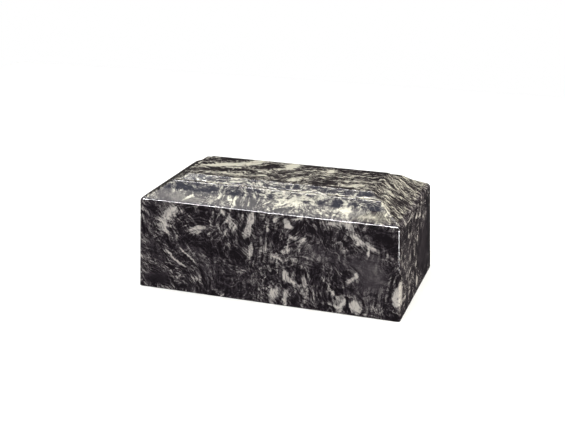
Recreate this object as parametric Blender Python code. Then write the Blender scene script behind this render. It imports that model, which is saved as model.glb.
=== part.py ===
"""Box-shaped cremation urn, cast in marbled resin stone, with its closing panel below.

Metres, +Z up. The origin is the centre of the underside. The long side lies along X and the front faces -Y.
"""

import math

import bmesh
import bpy


# Outside of the casting. The walls lean in as they rise, so that it leaves its mould.
width = 0.292
depth = 0.157
wall_height = 0.100
wall_lean = math.radians(2.2)

# Shoulder and top, inwards from the walls' top edge and upwards from it.
lower_slope_run = 0.0165
lower_slope_rise = 0.0084
upper_slope_run = 0.0100
upper_slope_rise = 0.0071
ledge_run = 0.0059
ledge_rise = 0.0007
riser_run = 0.0064
riser_rise = 0.0043

# Roundings. The walls' top edge is rounder at its ends, where the casting is buffed by hand.
upright_edge_radius = 0.0025
top_edge_radius = 0.0022
top_corner_radius = 0.0052
corner_blend_length = 0.0140
slope_break_radius = 0.0060
ledge_edge_radius = 0.0012
riser_foot_radius = 0.0012
panel_edge_radius = 0.0012
foot_chamfer = 0.0008

# Inside of the casting.
wall_thickness = 0.0100
roof_thickness = 0.0120
cavity_corner_radius = 0.0050

# Closing panel and the rebate it lies in. The urn stands on the rim around the panel.
rim_width = 0.0055
panel_recess = 0.0008
panel_thickness = 0.0060
panel_clearance = 0.0003
panel_chamfer = 0.0006

# Fineness of the rounded parts.
upright_edge_steps = 4
top_edge_steps = 5
small_edge_steps = 2
blend_steps = 4


def lean_at(height):
    """How far a wall has moved inwards at this height."""
    return height * math.tan(wall_lean)


def corner_shares():
    """Points along one side near a corner, as shares of the blend length, from the corner outwards."""
    return [(step + 1) / blend_steps for step in range(blend_steps)]


def outline(place, radius):
    """One closed ring of points around the urn.

    place(share) gives (inset from the base outline, height) at that share of the blend length from a corner.
    Every ring has the same number of points in the same order, so that neighbours can be joined.
    """
    points = []
    for sign_x, sign_y, start in ((1, 1, 0), (-1, 1, 90), (-1, -1, 180), (1, -1, 270)):
        inset, height = place(0.0)
        centre_x = sign_x * (width / 2 - inset - radius)
        centre_y = sign_y * (depth / 2 - inset - radius)
        arc = []
        for step in range(upright_edge_steps + 1):
            angle = math.radians(start + 90 * step / upright_edge_steps)
            arc.append((centre_x + radius * math.cos(angle), centre_y + radius * math.sin(angle), height))
        before = []
        after = []
        for share in corner_shares():
            inset, height = place(share)
            along = radius + share * corner_blend_length
            on_x_face = (sign_x * (width / 2 - inset), sign_y * (depth / 2 - inset - along), height)
            on_y_face = (sign_x * (width / 2 - inset - along), sign_y * (depth / 2 - inset), height)
            first, second = (on_x_face, on_y_face) if sign_x * sign_y > 0 else (on_y_face, on_x_face)
            before.append(first)
            after.append(second)
        points += before[::-1] + arc + after
    return points


def level_outline(inset, height, radius):
    """A ring whose points all have one inset and one height."""
    return outline(lambda share: (inset, height), radius)


def rounded_break(before, corner, after, radius, steps):
    """Points of an arc that rounds the profile's corner between two straight runs."""
    into = (corner[0] - before[0], corner[1] - before[1])
    out = (after[0] - corner[0], after[1] - corner[1])
    into_length = math.hypot(*into)
    out_length = math.hypot(*out)
    turn = math.acos((into[0] * out[0] + into[1] * out[1]) / (into_length * out_length))
    reach = min(radius * math.tan(turn / 2), into_length / 2, out_length / 2)
    start = (corner[0] - into[0] / into_length * reach, corner[1] - into[1] / into_length * reach)
    end = (corner[0] + out[0] / out_length * reach, corner[1] + out[1] / out_length * reach)
    points = []
    for step in range(steps + 1):
        share = step / steps
        one, two, three = (1 - share) ** 2, 2 * share * (1 - share), share ** 2
        points.append((one * start[0] + two * corner[0] + three * end[0],
                       one * start[1] + two * corner[1] + three * end[1]))
    return points


# The profile of the shoulder and top, as (inset from the base outline, height).
wall_foot = (0.0, 0.0)
wall_top = (lean_at(wall_height), wall_height)
slope_break = (wall_top[0] + lower_slope_run, wall_top[1] + lower_slope_rise)
ledge_edge = (slope_break[0] + upper_slope_run, slope_break[1] + upper_slope_rise)
riser_foot = (ledge_edge[0] + ledge_run, ledge_edge[1] + ledge_rise)
panel_edge = (riser_foot[0] + riser_run, riser_foot[1] + riser_rise)
panel_middle = (panel_edge[0] + panel_edge_radius * 4, panel_edge[1])
urn_height = panel_edge[1]


def top_edge_place(step):
    """Place on the rounded top edge of the walls, with a larger radius towards the corners."""
    def place(share):
        ease = share * share * (3 - 2 * share)
        radius = top_corner_radius + (top_edge_radius - top_corner_radius) * ease
        return rounded_break(wall_foot, wall_top, slope_break, radius, top_edge_steps)[step]
    return place


def outside_rings():
    """Rings from the foot of the walls to the top panel."""
    rings = [
        level_outline(foot_chamfer, 0.0, upright_edge_radius),
        level_outline(lean_at(foot_chamfer), foot_chamfer, upright_edge_radius),
    ]
    for step in range(top_edge_steps + 1):
        rings.append(outline(top_edge_place(step), upright_edge_radius))
    profile = rounded_break(wall_top, slope_break, ledge_edge, slope_break_radius, small_edge_steps)
    profile += rounded_break(slope_break, ledge_edge, riser_foot, ledge_edge_radius, small_edge_steps)
    profile += rounded_break(ledge_edge, riser_foot, panel_edge, riser_foot_radius, small_edge_steps)
    profile += rounded_break(riser_foot, panel_edge, panel_middle, panel_edge_radius, small_edge_steps)
    for inset, height in profile:
        rings.append(level_outline(inset, height, upright_edge_radius))
    return rings


def inside_rings():
    """Rings from the roof of the cavity down to the rim that the urn stands on."""
    slope = math.atan2(ledge_edge[1] - wall_top[1], ledge_edge[0] - wall_top[0])
    roof = urn_height - roof_thickness
    # The inner shoulder is the outer one, moved inwards by the wall's thickness.
    shoulder_start = wall_height + wall_thickness * (math.tan(slope) - 1 / math.cos(slope))
    shoulder_inset = lean_at(shoulder_start) + wall_thickness
    roof_inset = shoulder_inset + (roof - shoulder_start) / math.tan(slope)
    rebate_top = panel_recess + panel_thickness + panel_clearance
    rebate_radius = upright_edge_radius
    return [
        level_outline(roof_inset, roof, cavity_corner_radius),
        level_outline(shoulder_inset, shoulder_start, cavity_corner_radius),
        level_outline(lean_at(rebate_top) + wall_thickness, rebate_top, cavity_corner_radius),
        level_outline(rim_width, rebate_top, rebate_radius),
        level_outline(rim_width, 0.0, rebate_radius),
    ]


def solid_from_rings(name, rings):
    """Join neighbouring rings with faces and close the first and the last one."""
    mesh = bpy.data.meshes.new(name)
    solid = bmesh.new()
    loops = []
    for ring in rings:
        loops.append([solid.verts.new(point) for point in ring])
    for lower, upper in zip(loops, loops[1:]):
        for index in range(len(lower)):
            following = (index + 1) % len(lower)
            solid.faces.new((lower[index], lower[following], upper[following], upper[index]))
    solid.faces.new(loops[0][::-1])
    solid.faces.new(loops[-1])
    bmesh.ops.recalc_face_normals(solid, faces=solid.faces)
    solid.to_mesh(mesh)
    solid.free()
    mesh.shade_smooth()
    mesh.set_sharp_from_angle(angle=math.radians(25))
    part = bpy.data.objects.new(name, mesh)
    bpy.context.scene.collection.objects.link(part)
    return part


def stone(name, colour, roughness):
    """Polished resin stone of one mean colour."""
    material = bpy.data.materials.new(name)
    material.use_nodes = True
    shader = material.node_tree.nodes["Principled BSDF"]
    shader.inputs["Base Color"].default_value = (*colour, 1.0)
    shader.inputs["Roughness"].default_value = roughness
    shader.inputs["Metallic"].default_value = 0.0
    material.diffuse_color = (*colour, 1.0)
    return material


def build_body():
    """The hollow casting: outside, top, cavity, rebate and rim in one closed skin."""
    body = solid_from_rings("urn_body", inside_rings() + outside_rings())
    body.data.materials.append(stone("marbled_cast_stone", (0.10, 0.095, 0.10), 0.12))
    return body


def build_base_panel():
    """The flat panel that closes the cavity from below."""
    inset = rim_width + panel_clearance
    radius = upright_edge_radius - panel_clearance
    bottom = panel_recess
    top = panel_recess + panel_thickness
    panel = solid_from_rings("base_panel", [
        level_outline(inset + panel_chamfer, bottom, radius),
        level_outline(inset, bottom + panel_chamfer, radius),
        level_outline(inset, top - panel_chamfer, radius),
        level_outline(inset + panel_chamfer, top, radius),
    ])
    panel.data.materials.append(stone("dark_cast_stone", (0.03, 0.028, 0.03), 0.45))
    return panel


def clear_scene():
    for existing in list(bpy.data.objects):
        bpy.data.objects.remove(existing, do_unlink=True)


clear_scene()
build_body()
build_base_panel()
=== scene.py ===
import math

import bmesh
import bpy
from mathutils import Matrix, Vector


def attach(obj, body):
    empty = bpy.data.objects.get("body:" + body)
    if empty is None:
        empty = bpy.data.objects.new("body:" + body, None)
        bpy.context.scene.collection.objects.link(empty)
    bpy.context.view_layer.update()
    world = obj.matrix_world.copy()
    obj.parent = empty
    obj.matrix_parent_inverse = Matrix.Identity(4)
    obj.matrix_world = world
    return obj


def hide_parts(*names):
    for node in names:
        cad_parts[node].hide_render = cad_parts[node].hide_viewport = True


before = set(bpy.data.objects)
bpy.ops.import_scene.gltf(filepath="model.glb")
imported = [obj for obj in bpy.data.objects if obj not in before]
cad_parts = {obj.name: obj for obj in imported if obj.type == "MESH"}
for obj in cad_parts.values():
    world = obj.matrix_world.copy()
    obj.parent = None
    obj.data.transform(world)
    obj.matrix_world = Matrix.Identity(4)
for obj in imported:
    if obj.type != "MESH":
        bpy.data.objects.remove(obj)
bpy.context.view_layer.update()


# Camera
# It looks down on the urn's front from the right, through a short telephoto lens. Its place, its lens and its
# slight roll were fitted to the edges and corners of the urn in the photograph.

sensor_mm = 36.0
lens_mm = 64.07
camera_place = (0.3386, -0.9860, 0.4421)
camera_tilt = math.radians(70.66)
camera_turn = math.radians(19.29)
camera_roll = math.radians(-0.21)
camera_data = bpy.data.cameras.new("photo_camera")
camera_data.sensor_width = sensor_mm
camera_data.lens = lens_mm
camera_data.clip_start = 0.01
camera = bpy.data.objects.new("photo_camera", camera_data)
camera.location = camera_place
camera.rotation_euler = (camera_tilt, 0.0, camera_turn)
camera.rotation_euler.rotate_axis("Z", camera_roll)
bpy.context.scene.collection.objects.link(camera)
bpy.context.scene.camera = camera


# Urn casting
# One hollow casting in marble-filled polyester resin, open below. Black, grey and cream resin was poured
# together in the mould and stirred a little, then the clear gel coat was buffed to a high gloss by hand.

width = 0.292
depth = 0.157
wall_height = 0.100
wall_lean = math.radians(2.2)
# The shoulder from the walls' top edge to the top panel, each part as (run inwards, rise).
lower_slope = (0.0165, 0.0084)
upper_slope = (0.0100, 0.0071)
ledge = (0.0059, 0.0007)
riser = (0.0064, 0.0043)
# Radii of the roundings. The walls' top edge was buffed rounder towards the corners, over the blend length.
upright_edge_radius = 0.0025
top_edge_radius = 0.0022
top_corner_radius = 0.0052
corner_blend_length = 0.0140
slope_break_radius = 0.0060
small_edge_radius = 0.0012
foot_radius = 0.0008
# The inside, and the rebate that the closing panel lies in.
wall_thickness = 0.0100
roof_thickness = 0.0120
cavity_corner_radius = 0.0050
rim_width = 0.0055
rebate_depth = 0.0071
# Rings this close beside a rounding keep its shading from spreading over the flats.
support = 0.0004
# The profile ends this far in on the top panel. Edges that turn by more than the crease angle stay sharp.
panel_flat = 0.0100
crease_angle = math.radians(35)
# Steps in each rounding, and along the blend at a corner.
upright_edge_steps = 8
top_edge_steps = 10
small_edge_steps = 5
foot_steps = 3
corner_steps = 14


def lean_at(height):
    """How far a wall has moved inwards at this height."""
    return height * math.tan(wall_lean)


def outline(place, radius):
    """A closed ring around the urn.

    place(share) gives (inset, height) at that share of the blend length from a corner.
    """
    points = []
    for sign_x, sign_y, start in ((1, 1, 0), (-1, 1, 90), (-1, -1, 180), (1, -1, 270)):
        inset, height = place(0.0)
        centre_x = sign_x * (width / 2 - inset - radius)
        centre_y = sign_y * (depth / 2 - inset - radius)
        arc = []
        for step in range(upright_edge_steps + 1):
            angle = math.radians(start + 90 * step / upright_edge_steps)
            arc.append((centre_x + radius * math.cos(angle), centre_y + radius * math.sin(angle), height))
        before = []
        after = []
        for step in range(corner_steps):
            share = (step + 1) / corner_steps
            inset, height = place(share)
            along = radius + share * corner_blend_length
            on_x_face = (sign_x * (width / 2 - inset), sign_y * (depth / 2 - inset - along), height)
            on_y_face = (sign_x * (width / 2 - inset - along), sign_y * (depth / 2 - inset), height)
            first, second = (on_x_face, on_y_face) if sign_x * sign_y > 0 else (on_y_face, on_x_face)
            before.append(first)
            after.append(second)
        points += before[::-1] + arc + after
    return points


def level_outline(inset, height, radius):
    """A ring at one inset and one height."""
    return outline(lambda share: (inset, height), radius)


def rounded_break(before, corner, after, radius, steps):
    """An arc in the profile, with a point of the straight run kept close on each side of it."""
    into = (corner[0] - before[0], corner[1] - before[1])
    out = (after[0] - corner[0], after[1] - corner[1])
    into_length = math.hypot(*into)
    out_length = math.hypot(*out)
    into = (into[0] / into_length, into[1] / into_length)
    out = (out[0] / out_length, out[1] / out_length)
    turn = math.acos(into[0] * out[0] + into[1] * out[1])
    reach = min(radius * math.tan(turn / 2), into_length / 2, out_length / 2)
    hold_before = min(support, into_length / 2 - reach) + reach
    hold_after = min(support, out_length / 2 - reach) + reach
    points = []
    if hold_before > reach:
        points.append((corner[0] - into[0] * hold_before, corner[1] - into[1] * hold_before))
    for step in range(steps + 1):
        share = step / steps
        back = reach * (1 - share) ** 2
        ahead = reach * share ** 2
        points.append((corner[0] - into[0] * back + out[0] * ahead,
                       corner[1] - into[1] * back + out[1] * ahead))
    if hold_after > reach:
        points.append((corner[0] + out[0] * hold_after, corner[1] + out[1] * hold_after))
    return points


wall_foot = (0.0, 0.0)
wall_top = (lean_at(wall_height), wall_height)
slope_break = (wall_top[0] + lower_slope[0], wall_top[1] + lower_slope[1])
ledge_edge = (slope_break[0] + upper_slope[0], slope_break[1] + upper_slope[1])
riser_foot = (ledge_edge[0] + ledge[0], ledge_edge[1] + ledge[1])
panel_edge = (riser_foot[0] + riser[0], riser_foot[1] + riser[1])
panel_middle = (panel_edge[0] + panel_flat, panel_edge[1])


def top_edge_place(step):
    """The buffed top edge of the walls, rounder towards the corners."""
    def place(share):
        ease = share * share * (3 - 2 * share)
        radius = top_corner_radius + (top_edge_radius - top_corner_radius) * ease
        return rounded_break(wall_foot, wall_top, slope_break, radius, top_edge_steps)[step]
    return place


# The rings go from the roof of the cavity down to the rim, then up the outside to the top panel.
slope_angle = math.atan2(ledge_edge[1] - wall_top[1], ledge_edge[0] - wall_top[0])
roof = panel_edge[1] - roof_thickness
shoulder_start = wall_height + wall_thickness * (math.tan(slope_angle) - 1 / math.cos(slope_angle))
shoulder_inset = lean_at(shoulder_start) + wall_thickness
roof_inset = shoulder_inset + (roof - shoulder_start) / math.tan(slope_angle)
rings = [
    level_outline(roof_inset, roof, cavity_corner_radius),
    level_outline(shoulder_inset, shoulder_start, cavity_corner_radius),
    level_outline(lean_at(rebate_depth) + wall_thickness, rebate_depth, cavity_corner_radius),
    level_outline(rim_width, rebate_depth, upright_edge_radius),
    level_outline(rim_width, 0.0, upright_edge_radius),
]
for step in range(foot_steps + 1):
    angle = math.radians(90 * step / foot_steps)
    foot_inset = lean_at(foot_radius) + foot_radius * (1 - math.sin(angle))
    rings.append(level_outline(foot_inset, foot_radius * (1 - math.cos(angle)), upright_edge_radius))
rings.append(level_outline(lean_at(foot_radius + support), foot_radius + support, upright_edge_radius))
# The arc's own points, with one more on each side of it.
top_edge_points = top_edge_steps + 3
for step in range(top_edge_points):
    rings.append(outline(top_edge_place(step), upright_edge_radius))
profile = rounded_break(wall_top, slope_break, ledge_edge, slope_break_radius, small_edge_steps)
profile += rounded_break(slope_break, ledge_edge, riser_foot, small_edge_radius, small_edge_steps)
profile += rounded_break(ledge_edge, riser_foot, panel_edge, small_edge_radius, small_edge_steps)
profile += rounded_break(riser_foot, panel_edge, panel_middle, small_edge_radius, small_edge_steps)
for inset, height in profile:
    rings.append(level_outline(inset, height, upright_edge_radius))

shell = bmesh.new()
loops = [[shell.verts.new(point) for point in ring] for ring in rings]
for lower, upper in zip(loops, loops[1:]):
    for index in range(len(lower)):
        following = (index + 1) % len(lower)
        shell.faces.new((lower[index], lower[following], upper[following], upper[index]))
shell.faces.new(loops[0][::-1])
shell.faces.new(loops[-1])
bmesh.ops.recalc_face_normals(shell, faces=shell.faces)
casting_mesh = bpy.data.meshes.new("urn_casting")
shell.to_mesh(casting_mesh)
shell.free()
casting_mesh.shade_smooth()
casting_mesh.set_sharp_from_angle(angle=crease_angle)
casting = bpy.data.objects.new("urn_casting", casting_mesh)
bpy.context.scene.collection.objects.link(casting)


def linear(hex_colour):
    """An sRGB hex colour as linear RGBA."""
    channels = [int(hex_colour[start:start + 2], 16) / 255 for start in (1, 3, 5)]
    return tuple(c / 12.92 if c <= 0.04045 else ((c + 0.055) / 1.055) ** 2.4 for c in channels) + (1.0,)


def add(tree, kind, settings=(), links=()):
    """Add one node.

    Settings are (property or input, value) pairs. Links are (input, output socket) pairs, where a plain
    number may stand in place of the socket.
    """
    node = tree.nodes.new(kind)
    for name, value in settings:
        if isinstance(name, str) and hasattr(node, name):
            setattr(node, name, value)
        else:
            node.inputs[name].default_value = value
    for name, source in links:
        if isinstance(source, float):
            node.inputs[name].default_value = source
        else:
            tree.links.new(source, node.inputs[name])
    return node


# Marbled cast stone, gel coated and buffed: deep and glassy, with veins that drift under the clear surface.
marble = bpy.data.materials.new("marbled_cast_stone_gel_coated")
marble.use_nodes = True
tree = marble.node_tree
tree.nodes.clear()
mm_per_metre = 1000.0


def place_in_mm():
    """The place in the piece's own space, in mm."""
    place = add(tree, "ShaderNodeTexCoord")
    return add(tree, "ShaderNodeVectorMath", [("operation", "SCALE"), ("Scale", mm_per_metre)],
               [(0, place.outputs["Object"])]).outputs[0]


def stirred(source, size_mm, reach_mm, detail):
    """Move a place by noise: size_mm is the width of one eddy, reach_mm how far it carries the resin."""
    eddy = add(tree, "ShaderNodeTexNoise",
               [("Scale", 1 / size_mm), ("Detail", detail), ("Roughness", 0.55)], [("Vector", source)])
    swing = add(tree, "ShaderNodeVectorMath", [("operation", "SUBTRACT"), (1, (0.5, 0.5, 0.5))],
                [(0, eddy.outputs["Color"])])
    return add(tree, "ShaderNodeVectorMath", [("operation", "MULTIPLY_ADD"), (1, (2 * reach_mm,) * 3)],
               [(0, swing.outputs[0]), (2, source)]).outputs[0]


def grain(source, sizes_mm, lean_degrees, detail, roughness=0.6, form="FBM"):
    """Noise whose cells have these sizes along X, Y and Z, turned about Y by the lean."""
    turned = add(tree, "ShaderNodeMapping",
                 [("vector_type", "TEXTURE"), ("Rotation", (0.0, math.radians(-lean_degrees), 0.0)),
                  ("Scale", sizes_mm)], [("Vector", source)])
    return add(tree, "ShaderNodeTexNoise",
               [("noise_type", form), ("normalize", form == "FBM"), ("Scale", 1.0), ("Detail", detail),
                ("Roughness", roughness)], [("Vector", turned.outputs[0])]).outputs[0]


# The place after stirring: a wide drift for the soft layers, tight folds for the filaments, and a slight stir
# for the pours, which stay where they are put but get ragged banks.
mm = place_in_mm()
drift = stirred(stirred(mm, 48.0, 16.0, 2.0), 13.0, 5.0, 3.0)
folded = stirred(stirred(stirred(mm, 60.0, 30.0, 1.0), 20.0, 13.0, 2.0), 6.0, 4.0, 2.0)
pour_place = stirred(stirred(stirred(mm, 32.0, 3.6, 1.0), 11.0, 2.6, 2.0), 3.6, 1.5, 2.0)

# Pours on the front, as (x, z, half length, half width, lean, amount) in mm and degrees. Minus is black.
front_pours = [
    (-112, 82, 24, 15, 75, 0.64), (-101, 92, 14, 7, 20, 0.58), (-117, 70, 11, 5, -50, 0.50),
    (-100, 62, 9, 2.6, -65, 0.80), (-109, 63, 13, 2.6, -52, 0.55), (-137, 92, 10, 4, 90, 0.55),
    (-78, 72, 13, 8, 20, 1.05), (-70, 77, 9, 4, 10, 0.50), (-50, 91, 8, 2.2, 50, 0.70),
    (-58, 86, 10, 2.2, 55, 0.55), (-45, 95, 7, 3.6, -60, 0.90), (-38, 87, 9, 4, -80, 0.85),
    (-43, 75, 11, 3.4, 88, 0.70), (-33, 80, 11, 3, 78, 0.65), (-26, 92, 10, 3, 60, 0.60),
    (-15, 92, 9, 5, 75, 1.35), (-20, 78, 13, 5, 68, 1.45), (-15.5, 58, 12, 3, 87, 1.80),
    (-108, 42, 20, 2.6, -45, 0.85), (-95, 32, 14, 2.2, -28, 0.80), (-90, 46, 17, 1.6, -42, 0.60),
    (-84, 40, 17, 1.6, -44, 0.55), (-97, 50, 15, 1.6, -42, 0.50), (-86, 52, 10, 1.8, -50, 0.70),
    (-118, 58, 17, 1.8, -48, 0.50), (-125, 60, 16, 1.8, -50, 0.50), (-100, 48, 46, 34, 0, -0.12),
    (-114, 24, 20, 5, -40, 0.38), (-78, 17, 11, 3.4, 0, 0.50), (-105, 6, 8, 8, 90, 0.40),
    (-22, 34, 10, 3.6, 20, 0.50), (-14, 22, 18, 6, 5, 0.35), (-3, 58, 12, 4, 60, 0.40),
    (25, 91, 9, 5.5, -50, 1.45), (13, 92, 6, 5.5, 90, 0.90), (33, 97, 9, 3.4, 0, 0.65),
    (4, 88, 13, 3, 80, 0.45), (30, 76, 11, 5, -20, 0.65), (43, 75, 7, 5, 60, 0.55),
    (27, 67, 10, 1.8, 86, 0.65), (86, 96, 24, 7, -6, 0.68), (68, 95, 12, 4, 0, 0.50),
    (98, 84, 13, 6, -50, 0.62), (112, 76, 14, 5, -25, 0.72), (111, 69, 7, 1.6, 88, 0.60),
    (54, 58, 60, 22, 0, 0.30), (119, 55, 24, 12, 92, 0.22), (112, 38, 40, 24, 80, 0.30),
    (18, 52, 17, 2.8, -42, 0.50), (24, 33, 12, 5.5, -60, 1.00), (32, 27, 9, 3.8, -40, 0.65),
    (43, 30, 9, 4.5, -65, 0.90), (47, 21, 8, 3.2, -70, 0.50), (11, 11, 15, 9, 60, 0.85),
    (25, 12, 15, 6, 70, 0.85),
    (84, 11, 13, 6.5, 86, 1.50), (75, 22, 14, 3.2, -55, 0.85), (66, 34, 12, 2.6, -50, 0.55),
    (99, 10, 9, 7, -50, 1.30), (92, 38, 13, 4.4, 50, 0.65), (99, 45, 7, 2.6, 80, 0.55),
    (120, 10, 10, 8, 0, 0.45), (141, 26, 18, 7, 84, 0.95), (145, 38, 9, 4, 80, 0.80),
    (92, 8, 13, 2.2, -72, -1.40), (-70, 57, 42, 13, -8, -0.40), (-28, 55, 17, 9, 80, -0.40),
    (-127, 10, 26, 10, 4, -0.40), (-77, 8, 26, 9, 0, -0.30), (-128, 88, 15, 6, 88, -0.35),
    (-68, 93, 18, 9, 10, -0.45), (-50, 12, 22, 10, 0, -0.30), (126, 86, 30, 13, -25, -0.60),
    (60, 85, 30, 7, 0, -0.40), (10, 72, 20, 9, 80, -0.20), (56, 38, 17, 8, -45, -0.45),
    (88, 26, 15, 6, 10, -0.45), (36, 9, 13, 8, 60, -0.50), (140, 5, 10, 6, 0, -0.60),
]
# Pours in the shoulder's front, as (x, y, half length, half width, lean, amount). The long level bands of
# cream along the lower slope, the ledge and the riser are painted sheen, for the soft box these slopes
# reflect. The rest are pours.
shoulder_pours_and_sheen = [
    (-104, -54, 26, 3.8, -3, -1.15), (-64, -55, 18, 3.8, 4, -1.10), (-36, -55, 10, 4, 0, -0.70),
    (-1, -55, 7, 5, 60, -1.20), (38, -56, 6, 3, 0, -0.80), (55, -56, 5, 3, 0, -0.70),
    (72, -55, 7.5, 6, 50, -1.60), (91, -55, 4, 3, 60, -0.70), (108, -55, 13, 4, 0, -1.10),
    (82, -62, 10, 9, 90, 0.50), (40, -51, 90, 15, 0, 0.58), (-42, -63, 7, 5, 0, 0.70),
    (-88, -67, 12, 3, 45, 0.60), (-90, -67, 60, 11, 0, 0.24), (20, -66, 60, 12, 0, 0.49),
    (106, -67, 44, 12, 0, 0.68), (-50, -43, 76, 7, 0, 0.45), (50, -43, 76, 7, 0, 0.25),
    (0, -37, 150, 4, 0, 0.35),
    (-134, 10, 62, 12, 90, -0.45), (132, 20, 60, 8, 90, -0.25), (128, -25, 18, 9, 80, -0.75),
]
# Pours in the top panel, the same way.
panel_pours = [
    (-86, 4, 24, 9, 24, 0.88), (-63, 14, 26, 10, 22, 0.92), (-46, 26, 17, 12, 40, 0.88),
    (-55, -21, 44, 7, 6, 0.58), (-3, 26, 18, 11, 80, 0.95), (42, 20, 19, 9, 80, 0.70),
    (14, -19, 16, 9, 40, 0.92), (85, -15, 32, 15, 0, 0.30), (112, 8, 16, 10, 80, 0.30),
    (-68, 31, 24, 7, 14, -0.95), (-93, 22, 15, 9, 0, -0.65), (-94, 8, 7, 3.6, 0, -0.80),
    (-66, -7, 36, 8, 14, -0.95), (-24, 16, 22, 12, 76, -0.95), (18, 33, 15, 12, 0, -0.65),
    (78, 27, 34, 15, 0, -0.60), (10, -4, 24, 5, 12, -0.65), (44, -27, 14, 9, 0, -0.70),
    (58, -4, 14, 8, -30, -0.30), (-50, -34, 50, 4, 0, -0.40),
]
# Pours in the right wall, as (y, z, half length, half width, lean, amount).
right_pours = [
    (-71, 26, 8, 18, 0, 0.52), (-38, 78, 6, 4.5, 0, 0.85), (0, 86, 9, 4.5, 0, 0.90),
    (18, 83, 7, 4, -20, 0.80), (33, 76, 7, 4, -20, 0.80), (-2, 36, 6, 4, 60, 0.75),
    (-15, 28, 7, 4, 60, 0.75), (2, 14, 10, 9, 0, 1.10), (-36, 15, 20, 4, 10, 0.60),
    (-33, 95, 32, 4.5, 0, 0.60), (-42, 54, 40, 44, 0, 0.34), (38, 42, 44, 36, 0, -0.08),
    (66, 50, 14, 60, 0, -0.15),
]
# Calm places, where the resins had mixed to smoke, and flecked ones, where they stayed in crumbs. They are
# given in the same way. The calm bands along the shoulder's lower slope are painted sheen instead: they
# soften the pattern where that slope reflects the top soft box.
calm_front = [(116, 42, 44, 30, 85, 0.75), (-126, 11, 24, 11, 0, 1.2), (66, 58, 60, 28, 0, 0.45),
              (-128, 42, 28, 9, -60, 0.5), (-84, 50, 56, 22, -20, 0.30)]
painted_sheen_shoulder = [(-88, -68, 56, 12, 0, 1.0), (112, -68, 44, 12, 0, 0.8), (44, -57, 84, 17, 0, 0.32)]
calm_right = [(40, 40, 46, 40, 0, 0.9), (-44, 54, 36, 34, 0, 0.40)]
flecked_front = [(-40, 24, 60, 26, -6, 1.5), (128, 82, 26, 22, 0, 0.8), (-112, 86, 28, 20, 0, 0.8)]

# Planes just under the surface that the places are centred on, in mm, and how far they reach to each side.
front_plane = -76.0
right_plane = 144.0
shoulder_plane = 110.0
painted_sheen_plane = 106.0
panel_plane = 120.0
through = 15.0


def on_front(places):
    """Ellipsoids in the front wall as (centre, turn, half sizes, amount)."""
    return [((x, front_plane, z), (0.0, math.radians(-lean), 0.0), (long, through, wide), amount)
            for x, z, long, wide, lean, amount in places]


def on_level(places, height):
    """Ellipsoids that lie level in the top."""
    return [((x, y, height), (0.0, 0.0, math.radians(lean)), (long, wide, through), amount)
            for x, y, long, wide, lean, amount in places]


def on_right(places):
    """Ellipsoids in the right wall."""
    return [((right_plane, y, z), (math.radians(lean), 0.0, 0.0), (through, long, wide), amount)
            for y, z, long, wide, lean, amount in places]


def laid_over(under, pattern, strength=1.0, middle=0.0):
    """Lay a pattern over what is under it. The pattern swings about its middle, by this strength."""
    if middle:
        pattern = add(tree, "ShaderNodeMath", [("operation", "SUBTRACT"), (1, middle)],
                      [(0, pattern)]).outputs[0]
    return add(tree, "ShaderNodeMath", [("operation", "MULTIPLY_ADD")],
               [(0, pattern), (1, strength), (2, under)]).outputs[0]


def gathered(source, places):
    """The sum of soft ellipsoids, each strongest in its middle."""
    total = 0.0
    for centre, turn, reach, amount in places:
        local = add(tree, "ShaderNodeMapping",
                    [("vector_type", "TEXTURE"), ("Location", centre), ("Rotation", turn), ("Scale", reach)],
                    [("Vector", source)])
        body = add(tree, "ShaderNodeTexGradient", [("gradient_type", "SPHERICAL")],
                   [("Vector", local.outputs[0])])
        total = laid_over(total, body.outputs["Fac"], amount)
    return total


def eased(value, start, end, low, high):
    """A smooth change from low to high as the value goes from start to end."""
    return add(tree, "ShaderNodeMapRange",
               [("interpolation_type", "SMOOTHSTEP"), ("From Min", start), ("From Max", end),
                ("To Min", low), ("To Max", high)], [("Value", value)]).outputs[0]


# The pours carry the shoulder's painted sheen bands, and the calm places carry the painted sheen of its lower
# slope.
pours_and_sheen = on_front(front_pours) + on_level(shoulder_pours_and_sheen, shoulder_plane)
pours_and_sheen += on_level(panel_pours, panel_plane) + on_right(right_pours)
calm_and_sheen_places = on_front(calm_front) + on_level(painted_sheen_shoulder, painted_sheen_plane) + on_right(calm_right)
poured_and_sheen = gathered(pour_place, pours_and_sheen)
calm_and_sheen = gathered(drift, calm_and_sheen_places)
flecked = gathered(drift, on_front(flecked_front))

# A pour is purest in its middle and has a crisp bank.
cream_bank = eased(poured_and_sheen, 0.32, 0.52, 0.0, 0.30)
black_bank = eased(poured_and_sheen, -0.45, -0.30, -0.10, 0.0)
poured_and_sheen = laid_over(laid_over(eased(poured_and_sheen, -0.62, 0.80, -0.36, 0.42), cream_bank), black_bank)

# Nought outside and one inside the left quarter, the top, and the top behind the break in its front slope.
split = add(tree, "ShaderNodeSeparateXYZ", links=[(0, mm)])
in_left = eased(split.outputs["X"], -58.0, -78.0, 0.0, 1.0)
in_top = eased(split.outputs["Z"], 99.0, 103.0, 0.0, 1.0)
in_panel = laid_over(0.0, eased(split.outputs["Y"], -62.0, -54.0, 0.0, 1.0), in_top)

# Clouds lie everywhere. The strands hang down the walls, slant at the left and run along the top. The
# filaments are finer and more folded, and the mottle is crumbs.
curled = stirred(drift, 7.0, 2.6, 1.0)
cloud = grain(drift, (34.0, 34.0, 30.0), 0, 6.0, 0.62)
hanging = grain(drift, (3.0, 12.0, 17.0), 0, 5.0, 0.72)
brushed = grain(curled, (24.0, 12.0, 2.2), -42, 5.0, 0.72)
along_panel = grain(curled, (18.0, 2.6, 10.0), 0, 5.0, 0.78)
filaments = grain(folded, (18.0, 18.0, 2.2), -20, 5.0, 0.74)
level_filaments = grain(folded, (26.0, 3.2, 14.0), 0, 5.0, 0.72)
mottle = grain(drift, (3.2, 3.2, 2.6), 0, 3.0, 0.80)


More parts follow.
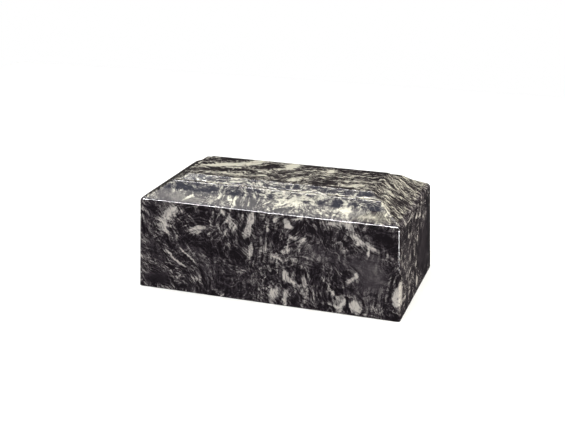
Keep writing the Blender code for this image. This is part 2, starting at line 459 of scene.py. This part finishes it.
def veins(source, sizes_mm, lean_degrees, breadth):
    """Thin lines where smooth noise crosses one half: 1 in the middle, 0 where it is a breadth off."""
    off_line = laid_over(0.0, grain(source, sizes_mm, lean_degrees, 1.0), middle=0.5)
    off_line = add(tree, "ShaderNodeMath", [("operation", "ABSOLUTE")], [(0, off_line)]).outputs[0]
    return eased(off_line, 0.0, breadth, 1.0, 0.0)


pale_veins = veins(folded, (24.0, 24.0, 7.0), -30, 0.05)
threads = grain(folded, (16.0, 16.0, 6.0), -25, 4.0, 0.7, "RIDGED_MULTIFRACTAL")
dark_veins = veins(curled, (26.0, 6.0, 10.0), 0, 0.06)

streaks = add(tree, "ShaderNodeMix", [("data_type", "FLOAT")],
              [("Factor", in_left), ("A", hanging), ("B", brushed)]).outputs[0]
streaks = add(tree, "ShaderNodeMix", [("data_type", "FLOAT")],
              [("Factor", in_panel), ("A", streaks), ("B", along_panel)]).outputs[0]
filaments = add(tree, "ShaderNodeMix", [("data_type", "FLOAT")],
                [("Factor", in_top), ("A", filaments), ("B", level_filaments)]).outputs[0]

# The fine layers swing about nought. Crumbs take the place of strands in the flecked places. The dark veins
# are in the top alone.
fine = laid_over(eased(streaks, 0.38, 0.64, -0.34, 0.36), eased(filaments, 0.38, 0.64, -0.38, 0.42))
fine = laid_over(0.0, fine, eased(flecked, 0.1, 1.0, 1.0, 0.5))
crumb_strength = laid_over(laid_over(1.2, flecked), in_top, -0.5)
fine = laid_over(fine, mottle, crumb_strength, middle=0.5)
fine = laid_over(fine, pale_veins, laid_over(0.16, in_top, 0.14))
fine = laid_over(fine, dark_veins, laid_over(0.0, in_top, -0.34))
fine = laid_over(fine, threads, 0.5, middle=0.12)

# They are weaker in the calm places, under the painted sheen of the shoulder's lower slope, and in the thick
# of a cream pour, and of a black one below the top. A pattern laid over nought by a share is that share of
# it.
calm_and_sheen_share = eased(calm_and_sheen, 0.0, 0.6, 1.0, 0.15)
cream_share = eased(poured_and_sheen, 0.30, 0.70, 1.0, 0.6)
black_share = add(tree, "ShaderNodeMath", [("operation", "MAXIMUM")],
                  [(0, eased(poured_and_sheen, -0.35, 0.0, 0.7, 1.0)), (1, in_top)]).outputs[0]
overall_share = 0.98
for share in (calm_and_sheen_share, cream_share, black_share, overall_share):
    fine = laid_over(0.0, fine, share)

# Black is 0 and cream is 1. The top is a little paler, but its creams stop short of the palest one.
tone = laid_over(laid_over(poured_and_sheen, fine), cloud, 0.6, middle=0.5)
tone = laid_over(laid_over(tone, in_top, 0.15), in_panel, 0.05)
tone = add(tree, "ShaderNodeMapRange",
           [("From Min", -0.36), ("From Max", 0.84), ("To Min", 0.0), ("To Max", 1.0)],
           [("Value", tone)]).outputs[0]
palest = laid_over(laid_over(1.0, in_top, -0.07), in_panel, -0.10)
tone = add(tree, "ShaderNodeMath", [("operation", "MINIMUM")], [(0, tone), (1, palest)]).outputs[0]


def set_stops(node, stops):
    """Give a colour ramp its stops as (position, hex colour)."""
    elements = node.color_ramp.elements
    while len(elements) < len(stops):
        elements.new(0.5)
    for element, (position, hex_colour) in zip(elements, stops):
        element.position = position
        element.color = linear(hex_colour)


colour = add(tree, "ShaderNodeValToRGB", links=[("Fac", tone)])
set_stops(colour, [(0.00, "#211d21"), (0.20, "#322d32"), (0.42, "#544e53"), (0.60, "#7e7a79"),
                   (0.76, "#b4aeab"), (0.88, "#d8d2cc"), (1.00, "#e6e0d9")])
# The stone is a little warmer in the top, which lay lowest in the mould. The colours of a Mix node are its
# inputs 6 and 7 and its output 2.
warmed = add(tree, "ShaderNodeMix",
             [("data_type", "RGBA"), ("blend_type", "MULTIPLY"), (7, linear("#fbfef0"))],
             [("Factor", in_top), (6, colour.outputs["Color"])])

# The gel coat alone gives the gloss. Buffing by hand has left it slightly wavy.
wave_mm = 22.0
waviness = add(tree, "ShaderNodeTexNoise", [("Scale", 1 / wave_mm), ("Detail", 1.0)], [("Vector", mm)])
skin = add(tree, "ShaderNodeBump", [("Strength", 0.03), ("Distance", 0.001)],
           [("Height", waviness.outputs[0])])
stone = add(tree, "ShaderNodeBsdfPrincipled",
            [("Roughness", 0.32), ("IOR", 1.5), ("Specular IOR Level", 0.0), ("Coat Weight", 1.0),
             ("Coat Roughness", 0.03), ("Coat IOR", 1.5)],
            [("Base Color", warmed.outputs[2]), ("Coat Normal", skin.outputs[0])])
add(tree, "ShaderNodeOutputMaterial", links=[("Surface", stone.outputs[0])])

casting_mesh.materials.append(marble)
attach(casting, "root")
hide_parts("urn_body")


# Closing panel
# A flat panel cast in the same resin, all of it in the dark shade, and honed but not coated. It lies in the
# rebate below and is sealed there.

# Dark cast stone, honed: matt, with faint grey clouds. The real grit is too fine to see, so it is drawn
# at 0.6 mm.
grit_mm = 0.6
honed = bpy.data.materials.new("dark_cast_stone_honed")
honed.use_nodes = True
tree = honed.node_tree
tree.nodes.clear()
mm = place_in_mm()
cloud = grain(stirred(mm, 30.0, 8.0, 2.0), (26.0, 26.0, 26.0), 0, 5.0)
colour = add(tree, "ShaderNodeValToRGB", links=[("Fac", cloud)])
set_stops(colour, [(0.35, "#242126"), (0.75, "#5a5658")])
grit = add(tree, "ShaderNodeTexNoise", [("Scale", 1 / grit_mm), ("Detail", 2.0)], [("Vector", mm)])
rough = add(tree, "ShaderNodeMapRange", [("To Min", 0.42), ("To Max", 0.6)], [("Value", grit.outputs[0])])
bump = add(tree, "ShaderNodeBump", [("Strength", 0.15), ("Distance", 0.0002)], [("Height", grit.outputs[0])])
stone = add(tree, "ShaderNodeBsdfPrincipled", [("IOR", 1.5)],
            [("Base Color", colour.outputs["Color"]), ("Roughness", rough.outputs[0]),
             ("Normal", bump.outputs[0])])
add(tree, "ShaderNodeOutputMaterial", links=[("Surface", stone.outputs[0])])
base_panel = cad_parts["base_panel"]
base_panel.data.materials.clear()
base_panel.data.materials.append(honed)


# Floor
# A plain pale sheet of paper, a hair below the rim that the urn stands on. The urn's gloss doesn't see it, as
# though dark cards lay around the polished stone, and it takes no shadow.

floor_reach = 1.0
floor_gap = 0.0002
floor_mesh = bpy.data.meshes.new("floor")
floor_mesh.from_pydata(
    [(x * floor_reach, y * floor_reach, 0.0) for x, y in ((-1, -1), (1, -1), (1, 1), (-1, 1))],
    [], [(0, 1, 2, 3)])
floor = bpy.data.objects.new("floor", floor_mesh)
floor.location.z = -floor_gap
bpy.context.scene.collection.objects.link(floor)
# Matt white paper: an even white without any gloss.
paper = bpy.data.materials.new("matt_white_paper")
paper.use_nodes = True
tree = paper.node_tree
tree.nodes.clear()
sheet = add(tree, "ShaderNodeBsdfPrincipled",
            [("Base Color", linear("#fdfdfc")), ("Roughness", 0.9), ("Specular IOR Level", 0.0)])
add(tree, "ShaderNodeOutputMaterial", links=[("Surface", sheet.outputs[0])])
floor_mesh.materials.append(paper)
floor.visible_glossy = False
floor.visible_diffuse = False
floor.visible_shadow = False


# Lights
# A pale tent lights the matt stone from above, and dark flags around it keep the gloss deep. Soft boxes light
# the front, the right end and the slopes. Narrow strips that only the gloss sees, tapered at their ends, draw
# the bright lines along the edges.


def soft_box(name, location, target, size, radiance, shape="RECTANGLE", matt=True, gloss=True,
             tint="#ffffff"):
    """A soft box, (width, height) in size, that faces the target. It may light only matt or only gloss."""
    light = bpy.data.lights.new(name, "AREA")
    light.shape = shape
    light.size, light.size_y = size
    filled = math.pi / 4 if shape == "ELLIPSE" else 1.0
    light.energy = radiance * math.pi * size[0] * size[1] * filled
    light.color = linear(tint)[:3]
    box = bpy.data.objects.new(name, light)
    box.location = location
    box.rotation_euler = (Vector(target) - Vector(location)).to_track_quat("-Z", "Y").to_euler()
    box.visible_diffuse = matt
    box.visible_glossy = gloss
    box.visible_camera = False
    bpy.context.scene.collection.objects.link(box)


# The top box lies in the reflection of the lower slope, and the overhead strip in that of the upper one.
soft_box("key_soft_box", (-0.45, -1.05, 0.85), (0.0, 0.0, 0.08), (0.9, 0.45), 4.4)
soft_box("fill_soft_box", (1.10, -0.10, 0.60), (0.1, 0.0, 0.05), (0.8, 0.80), 6.0,
         gloss=False, tint="#fffaee")
soft_box("top_soft_box", (-0.25, 0.40, 1.05), (0.0, 0.0, 0.10), (1.8, 0.42), 2.5)
soft_box("overhead_strip", (-0.30, -0.02, 1.10), (-0.3, -0.02, 0.1), (1.8, 0.34), 1.3,
         matt=False, tint="#cad8f4")
# These three light the top front edge, the front right corner and the edge of the ledge.
soft_box("edge_strip", (-0.20, -0.85, 1.00), (0.0, -0.08, 0.10), (1.35, 0.15), 160.0,
         "ELLIPSE", matt=False)
soft_box("corner_strip", (0.78, -0.82, -0.01), (0.146, -0.078, 0.08), (0.11, 0.46), 160.0,
         "ELLIPSE", matt=False)
soft_box("back_strip", (-0.40, 0.75, 0.86), (-0.40, 0.0, 0.12), (1.0, 0.10), 130.0,
         "ELLIPSE", matt=False)

world = bpy.data.worlds.new("lit_tent")
bpy.context.scene.world = world
world.use_nodes = True
tree = world.node_tree
tree.nodes.clear()
toward = add(tree, "ShaderNodeTexCoord")
upward = add(tree, "ShaderNodeSeparateXYZ", links=[(0, toward.outputs["Generated"])])
# The tent is brightest overhead and the table below gives back a little light.
tent = add(tree, "ShaderNodeMapRange",
           [("From Min", 0.0), ("From Max", 1.0), ("To Min", 0.12), ("To Max", 1.25)],
           [("Value", upward.outputs["Z"])])
white = linear("#ffffff")
room = add(tree, "ShaderNodeBackground", [("Color", white)], [("Strength", tent.outputs[0])])
flags = add(tree, "ShaderNodeBackground", [("Color", white), ("Strength", 0.02)])
sweep = add(tree, "ShaderNodeBackground", [("Color", white), ("Strength", 1.0)])
path = add(tree, "ShaderNodeLightPath")
seen = add(tree, "ShaderNodeMixShader", links=[
    ("Fac", path.outputs["Is Glossy Ray"]), (1, room.outputs[0]), (2, flags.outputs[0])])
seen = add(tree, "ShaderNodeMixShader", links=[
    ("Fac", path.outputs["Is Camera Ray"]), (1, seen.outputs[0]), (2, sweep.outputs[0])])
add(tree, "ShaderNodeOutputWorld", links=[("Surface", seen.outputs[0])])
bpy.context.scene.view_settings.view_transform = "Standard"
